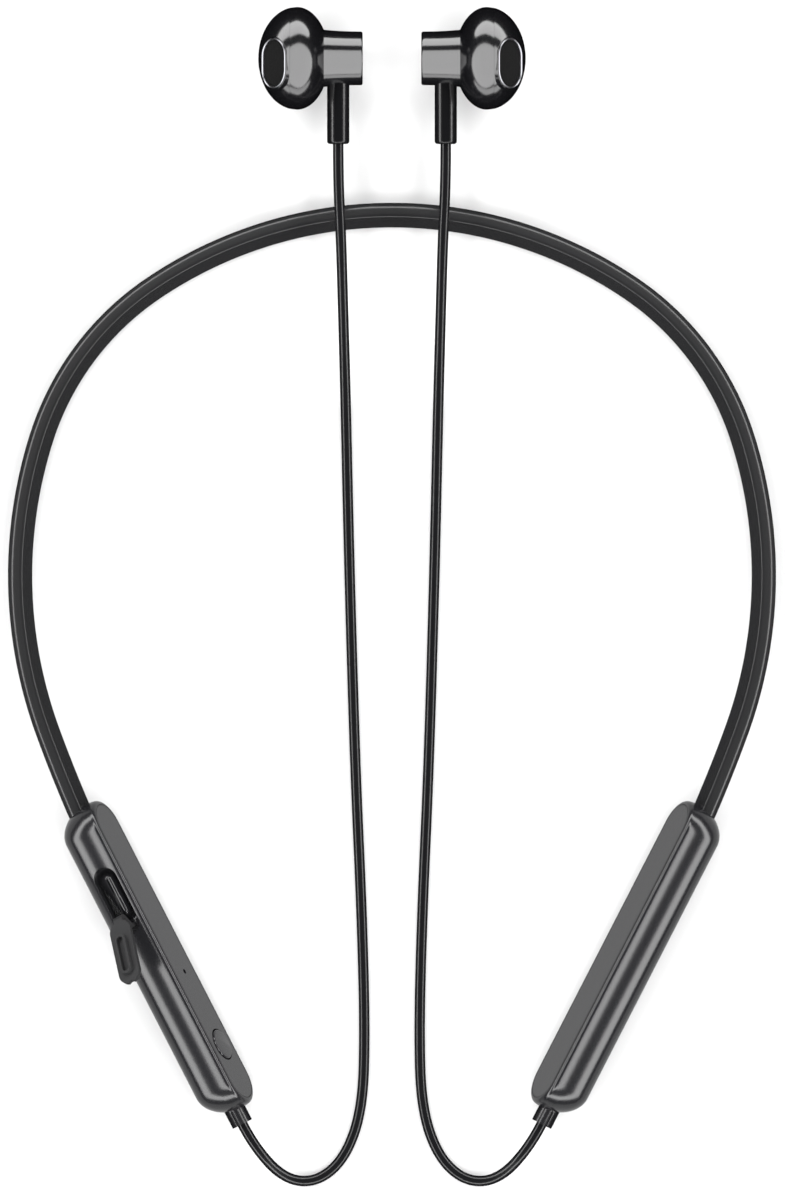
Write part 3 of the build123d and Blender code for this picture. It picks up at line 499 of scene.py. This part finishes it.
def rear_outline(bud):
    """Closed outline of the rear shell, as x and radius: a tiny round at the joint, x = rear cos t and
    r = head sin t as far as the barrel, whose radius then falls as a square, and back inside."""
    inner = 1 - bud.wall / bud.head
    seam_r = bud.head * math.cos(math.asin(bud.seam / bud.front))
    joint_round, joint_long, barrel_wall = 0.035 * MM, 0.06 * MM, 0.7 * MM
    turn = np.linspace(math.pi / 2, math.pi * 0.812, 40)
    x = np.concatenate(([bud.seam, bud.seam - joint_long], bud.rear * np.cos(turn)))
    r = np.concatenate(([seam_r - joint_round, seam_r], bud.head * np.sin(turn)))
    along = np.linspace(0, 1, 14)[1:]
    end = bud.barrel_x - bud.head_x
    neck_x = x[-1] + (end - x[-1]) * along
    neck_r = bud.barrel + (r[-1] - bud.barrel) * (1 - along) ** 2
    bore = bud.barrel - barrel_wall
    inside_x = [end, -5.0 * MM, -4.0 * MM, 0.0, bud.seam]
    inside_r = [bore, bore, 6.0 * MM, bud.head * inner, seam_r * inner]
    return np.concatenate((x, neck_x, inside_x)), np.concatenate((r, neck_r, inside_r))


def port_rings(bud):
    """Rings, in the port's frame, of the hole in the front shell, of the collar that lines it, and of the
    ring in the collar, which is half round on top."""
    end, half = bud.port_wide / 2, (bud.port_long - bud.port_wide) / 2
    gap, ring_wide, lip = 0.05 * MM, 0.35 * MM, 0.2 * MM
    hole = stadium([0, end + 0.15 * MM, end + 0.15 * MM, 0], np.array([-4, -4, 4, 4]) * MM, half)
    hole[[0, 3]] = hole[[1, 2]].mean(axis=1, keepdims=True)
    rho = end + np.array([lip, lip, 0.14 * MM, gap, gap, -ring_wide, -ring_wide])
    collar = stadium(rho, np.array([-1.9, -0.1, -0.04, -0.04, -0.5, -0.5, -1.9]) * MM, half)
    over = np.linspace(0, math.pi, 9)
    rho = end - ring_wide / 2 * (1 - np.concatenate(([1], np.cos(over), [-1])))
    ring = stadium(rho, np.concatenate(([-0.5], 0.35 * np.sin(over) - 0.3, [-0.5])) * MM, half)
    return hole, collar, ring


# ---------------------------------------------------------------- operators


class EAR_OT_camera(bpy.types.Operator):
    """Camera straight above the table, with a long lens"""

    bl_idname = "ear.camera"
    bl_label = "Camera"

    def execute(self, context):
        data = bpy.data.cameras.new("camera")
        data.sensor_fit = "VERTICAL"
        data.sensor_height = 36.0
        data.lens = 36.0 * 3000 / 210.5
        data.clip_start, data.clip_end = 0.1, 20
        camera = bpy.data.objects.new("camera", data)
        context.scene.collection.objects.link(camera)
        camera.matrix_world = Matrix.Translation((0.09 * MM, -5.59 * MM, 3.005))
        context.scene.camera = camera
        return {"FINISHED"}


class EAR_OT_cords(bpy.types.Operator):
    """Cords from the earbuds' stems to the pods' boots"""

    bl_idname = "ear.cords"
    bl_label = "Cords"

    def execute(self, context):
        # Corners of the left cord's route, in millimetres; the right cord is its mirror image.
        route = (
            (-9.42, 74.3, 9.0),
            (-9.42, 67.8, 9.0),
            (-8.9, 57.3, 9.6),
            (-8.58, 45.6, 5.9),
            (-8.14, 29.8, 0.97),
            (-7.54, 1.7, 0.97),
            (-6.46, -35.1, 0.97),
            (-5.32, -60.0, 0.97),
            (-4.74, -81.6, 0.97),
            (-5.2, -95.0, 0.97),
            (-8.2, -103.6, 0.97),
            (-13.2, -107.9, 0.97),
            (-18.9, -107.3, 2.2),
            (-24.182, -101.485, 5.496),
            (-26.239, -97.483, 5.496),
        )
        width = context.scene.ear_cord.diameter
        for name, side in SIDES:
            points = mirrored(np.array(route) * MM, side)
            data = bpy.data.curves.new(f"{name}_cord_jacket", "CURVE")
            data.dimensions = "3D"
            data.resolution_u = 16
            data.bevel_depth, data.bevel_resolution = width / 2, 8
            data.use_fill_caps = True
            spline = data.splines.new("NURBS")
            spline.points.add(len(points) - 1)
            spline.points.foreach_set("co", np.c_[points, np.ones(len(points))].ravel())
            spline.order_u = 3
            spline.use_endpoint_u = True
            data.materials.append(cord_jacket())
            cord = bpy.data.objects.new(f"{name}_cord_jacket", data)
            context.scene.collection.objects.link(cord)
            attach(cord, "neckband")
            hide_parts(f"{name}_cord")
        return {"FINISHED"}


class EAR_OT_band(bpy.types.Operator):
    """Rubber sleeve of the neckband"""

    bl_idname = "ear.band"
    bl_label = "Neckband"

    def execute(self, context):
        band = context.scene.ear_band
        outline = section(band.thick / 2, band.tall / 2, band.back, band.edge, 0.4 * MM)
        turn = math.pi - band.tilt
        across = outline[:, 0] * math.cos(turn) - outline[:, 1] * math.sin(turn)
        up = outline[:, 0] * math.sin(turn) + outline[:, 1] * math.cos(turn)
        line, out = band_line()
        left = np.zeros((len(line), len(outline), 3))
        left[..., :2] = line[:, None, :] + out[:, None, :] * across[None, :, None]
        left[..., 2] = up
        rings = np.concatenate((mirrored(left, 1)[:0:-1], left))
        base, tip = band_frame()
        y, z = rings[..., 1].copy(), rings[..., 2].copy()
        rings[..., 1] = band.top_y + y * math.cos(tip) + z * math.sin(tip)
        rings[..., 2] = base - y * math.sin(tip) + z * math.cos(tip)
        sleeve = skin("neckband_sleeve", rings, silicone_rubber(), "neckband", ["band_sleeve"])
        return {"FINISHED"}


class EAR_OT_pods(bpy.types.Operator):
    """Hollow shells of the two pods, with the charging socket's recess in the left one"""

    bl_idname = "ear.pods"
    bl_label = "Pod shells"

    def execute(self, context):
        pod = context.scene.ear_pod
        middle, lean, face = pod_frame()
        half, side_y, top = (pod.long - pod.wide) / 2, pod.wide / 2, pod.thick / 2
        quarter, bow = math.pi / 2, pod.bow / 2
        rise = pod.thick - (pod.back + pod.edge) * (1 - math.sin(bow))
        radius = rise / (2 * math.sin(bow))
        start = side_y - pod.back * math.cos(bow) - radius * (1 - math.cos(bow))
        outer = legs(
            (start, -top),
            0.0,
            (
                (pod.back * (quarter - bow), quarter - bow),
                (radius * pod.bow, pod.bow),
                (pod.edge * (quarter - bow), quarter - bow),
            ),
            0.15 * MM,
        )
        seat, ledge = side_y - pod.inset + pod.gap, 0.5 * MM
        low = top - pod.cover
        inner = side_y - pod.wall
        inner_corner = pod.back - pod.wall
        turn_in = ((inner_corner * quarter, -quarter),)
        floor = legs((inner, -top + pod.wall + inner_corner), -quarter, turn_in, 0.3 * MM)
        steps = [(seat, top), (seat, low), (seat - ledge, low)]
        steps += [(seat - ledge, low - ledge), (inner, low - ledge)]
        profile = np.concatenate(([(0, -top)], outer, steps, floor, [(0, -top + pod.wall)]))
        # The pod's ends are quarter ellipses from the back up to crown; the inside keeps a wall from them.
        crown = 2.0 * MM
        fall = np.clip((crown - profile[:, 1]) / (crown + top + 0.3 * MM), 0, 1)
        reach = side_y * np.sqrt(1 - fall**2)
        reach[len(outer) + len(steps) :] -= pod.wall
        rings = stadium(profile[:, 0], profile[:, 1], half, np.minimum(profile[:, 0], reach))
        for name, side in SIDES:
            points = mirrored(placed(rings, middle, lean, face), side)
            shell = skin(f"{name}_pod_body", points, moulded_abs(), None, close=True)
            if name == "left":
                tools = [placed(opening(*sizes), middle, lean, face) for sizes in OPENINGS]
                cut(shell, *(skin("cutter", tool, moulded_abs(), None, close=True) for tool in tools))
            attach(shell, "neckband")
            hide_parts(f"{name}_pod_shell")
        return {"FINISHED"}


class EAR_OT_buds(bpy.types.Operator):
    """Shells of the earbuds, with the collar and the ring of the sound port"""

    bl_idname = "ear.buds"
    bl_label = "Earbud shells"

    def execute(self, context):
        bud = context.scene.ear_bud
        place = np.array([bud.head_x, bud.y, bud.z])
        port = place + np.array([bud.port_x, bud.port_y, bud.port_z])
        port_axis = (math.cos(bud.port_turn), 0, math.sin(bud.port_turn))
        front_rings, rear_rings = (turned(*line) + place for line in (front_outline(bud), rear_outline(bud)))
        hole, collar, ring = (placed(rings, port, (0, 1, 0), port_axis) for rings in port_rings(bud))
        for name, side in SIDES:
            plastic = polished_abs()
            nodes = [f"{name}_bud_rear_shell"]
            rings = mirrored(rear_rings, -side)
            rear = skin(f"{name}_bud_rear", rings, plastic, "neckband", nodes, close=True)
            front = skin(f"{name}_bud_front", mirrored(front_rings, -side), plastic, None, close=True)
            cut(front, skin("cutter", mirrored(hole, -side), plastic, None, close=True))
            lining = skin(f"{name}_bud_collar", mirrored(collar, -side), plastic, "neckband", close=True)
            metal = smoked_chrome()
            nodes = [f"{name}_bud_nozzle_rim"]
            rim = skin(f"{name}_bud_ring", mirrored(ring, -side), metal, "neckband", nodes, close=True)
            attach(front, "neckband")
            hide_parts(f"{name}_bud_front_shell")
        return {"FINISHED"}


FINISHES = {
    "spring_wire": spring_wire,
    "lead_insulation": lead_insulation,
    "cover_plastic": moulded_abs,
    "pod_plastic": moulded_abs,
    "soft_black": soft_elastomer,
    "inner_plastic": moulding_resin,
    "plated_steel": nickel_plate,
    "gold_contact": gold_plate,
    "flap_rubber": flap_rubber,
    "button_plastic": moulded_abs,
    "board_laminate": board_laminate,
    "chip_resin": moulding_resin,
    "ceramic": steatite,
    "battery_foil": foil_pouch,
    "foam": foam_strip,
    "bud_plastic": polished_abs,
    "rim_metal": smoked_chrome,
    "grille_mesh": woven_mesh,
    "membrane": polyester_film,
    "copper_wire": enamelled_copper,
    "cord_jacket": cord_jacket,
    "band_rubber": silicone_rubber,
}


class EAR_OT_finishes(bpy.types.Operator):
    """Finishes and smooth shading of the pieces that keep their frame shape"""

    bl_idname = "ear.finishes"
    bl_label = "Finishes"

    def execute(self, context):
        for entry in frame["record"]["subparts"]:
            piece = frame["nodes"][entry["node"]]
            material = FINISHES[entry["material_slot"]]()
            for place in piece.material_slots:
                place.material = material
            if piece.hide_render:
                continue
            weld = piece.modifiers.new("weld", "WELD")
            weld.merge_threshold = 1e-6
            piece.data.polygons.foreach_set("use_smooth", np.ones(len(piece.data.polygons), bool))
            split = piece.modifiers.new("edges", "EDGE_SPLIT")
            split.split_angle = math.radians(28)
        return {"FINISHED"}


def glow(name, level):
    """Diffuser of a lamp: plain white light of that brightness."""
    made = bpy.data.materials.new(name)
    made.use_nodes = True
    made.node_tree.nodes.clear()
    light = add_node(made.node_tree, "ShaderNodeEmission", {"Strength": level})
    add_node(made.node_tree, "ShaderNodeOutputMaterial", links={"Surface": light.outputs[0]})
    return made


def group(name, pieces):
    """A collection of pieces, for a lamp that lights only them."""
    made = bpy.data.collections.new(name)
    for piece in pieces:
        made.objects.link(piece)
    return made


def sheet(name, height, material):
    """A flat square of six metres at that height."""
    mesh = bpy.data.meshes.new(name)
    mesh.from_pydata([(x, y, height) for x, y in ((-3, -3), (3, -3), (3, 3), (-3, 3))], [], [(0, 1, 2, 3)])
    mesh.materials.append(material)
    made = bpy.data.objects.new(name, mesh)
    bpy.context.scene.collection.objects.link(made)
    return made


def ring_lamp(name, low, high, level, lit, steps=96):
    """Part of a sphere of 1.5 m between two angles from straight up, shining on one group only."""
    fall = np.radians(np.linspace(low, high, 5))
    rings = turned(1.5 * np.cos(fall), 1.5 * np.sin(fall), steps)[..., [1, 2, 0]]
    ring, at = np.arange(4)[:, None] * steps, np.arange(steps)[None, :]
    after = (at + 1) % steps
    faces = np.stack((ring + at, ring + after, ring + steps + after, ring + steps + at), -1)
    mesh = bpy.data.meshes.new(name)
    mesh.from_pydata(rings.reshape(-1, 3).tolist(), [], faces.reshape(-1, 4).tolist())
    mesh.materials.append(glow(name, level))
    lamp = bpy.data.objects.new(name, mesh)
    bpy.context.scene.collection.objects.link(lamp)
    lamp.visible_camera = False
    lamp.light_linking.receiver_collection = lit
    return lamp


def softbox(name, side, lean, out, wide, tall, level, lit):
    """An oval softbox over the earbud on that side, leaning towards +Y, shining on one group only."""
    bud = bpy.context.scene.ear_bud
    data = bpy.data.lights.new(name, "AREA")
    data.shape, data.size, data.size_y = "ELLIPSE", wide, tall
    data.energy = level * math.pi * wide * tall * math.pi / 4
    lamp = bpy.data.objects.new(name, data)
    bpy.context.scene.collection.objects.link(lamp)
    centre = Matrix.Translation((side * bud.head_x, bud.y, bud.z))
    turn = Matrix.Rotation(math.radians(-lean), 4, "X")
    lamp.matrix_world = centre @ turn @ Matrix.Translation((side * out, 0, 0.4))
    lamp.visible_camera = False
    lamp.light_linking.receiver_collection = lit


class EAR_OT_stage(bpy.types.Operator):
    """White table, ring lamps over band and pods, a card under the pods, and softboxes over each earbud"""

    bl_idname = "ear.stage"
    bl_label = "Studio"

    def execute(self, context):
        scene = context.scene
        finish = scene.ear_finish
        table = sheet("table", 0, principled("white paper sweep", finish.floor, Roughness=0.9, IOR=1.3))
        table.visible_glossy = False  # black flags under a product shot: no table in the gloss
        pieces = [piece for piece in scene.objects if piece.type in {"MESH", "CURVE"}]
        shells = [piece for piece in pieces if "_bud_" in piece.name and not piece.name.endswith("stem")]
        others = [piece for piece in pieces if piece not in shells]
        # The sleeve, the cords and the stems get the lower ring lamp only: two lines of light, dark between.
        wide = [piece for piece in others if not piece.name.endswith(("sleeve", "jacket", "stem"))]
        all_lit, wide_lit = group("table and neckband", others), group("table and pods", wide)
        upper = ring_lamp("upper ring lamp", 25, 36, 7.0, wide_lit)
        lower = ring_lamp("lower ring lamp", 57, 70, 7.0, all_lit)
        card = sheet("bounce card", 0.02 * MM, glow("bounce card", finish.card))
        card.visible_camera = card.visible_shadow = card.visible_diffuse = False
        pods = [piece for piece in others if piece.name.endswith(("pod_body", "pod_cover", "call_button"))]
        card.light_linking.receiver_collection = group("pods", pods)
        for name, side in SIDES:
            bud = group(f"{name} earbud", [piece for piece in shells if piece.name.startswith(name)])
            for kind, *sizes in SOFTBOXES:
                softbox(f"{name} {kind}", side, *sizes, bud)
        world = bpy.data.worlds.new("studio")
        scene.world = world
        world.use_nodes = True
        world.node_tree.nodes["Background"].inputs["Color"].default_value = (0.06, 0.06, 0.06, 1)
        scene.view_settings.view_transform = "Standard"
        return {"FINISHED"}


# Softboxes over each earbud: name, lean towards +Y in degrees, distance outwards, width and height in
# metres, brightness.
SOFTBOXES = (
    ("top softbox", -20, -0.6, 3.2, 1.1, 7.5),
    ("back softbox", 78, 0.45, 2.0, 0.4, 9.0),
    ("front softbox", -88, 0.2, 1.6, 0.2, 5.0),
)

STEPS = (EAR_OT_camera, EAR_OT_cords, EAR_OT_band, EAR_OT_pods, EAR_OT_buds, EAR_OT_finishes, EAR_OT_stage)


class EAR_PT_panel(bpy.types.Panel):
    """Sizes, colours and steps of the earphones"""

    bl_idname = "EAR_PT_panel"
    bl_label = "Neckband earphones"
    bl_space_type = "VIEW_3D"
    bl_region_type = "UI"
    bl_category = "Earphones"

    def draw(self, context):
        for key, settings in GROUPS.items():
            box = self.layout.box()
            for prop in settings.__annotations__:
                box.prop(getattr(context.scene, key), prop)
        for step in STEPS:
            self.layout.operator(step.bl_idname)


CLASSES = (*GROUPS.values(), *STEPS, EAR_PT_panel)


def register():
    for cls in CLASSES:
        bpy.utils.register_class(cls)
    for key, settings in GROUPS.items():
        setattr(bpy.types.Scene, key, bpy.props.PointerProperty(type=settings))


def unregister():
    for key in GROUPS:
        delattr(bpy.types.Scene, key)
    for cls in reversed(CLASSES):
        bpy.utils.unregister_class(cls)


def main():
    register()
    for step in STEPS:
        family, name = step.bl_idname.split(".")
        getattr(getattr(bpy.ops, family), name)()


if __name__ == "__main__":
    main()
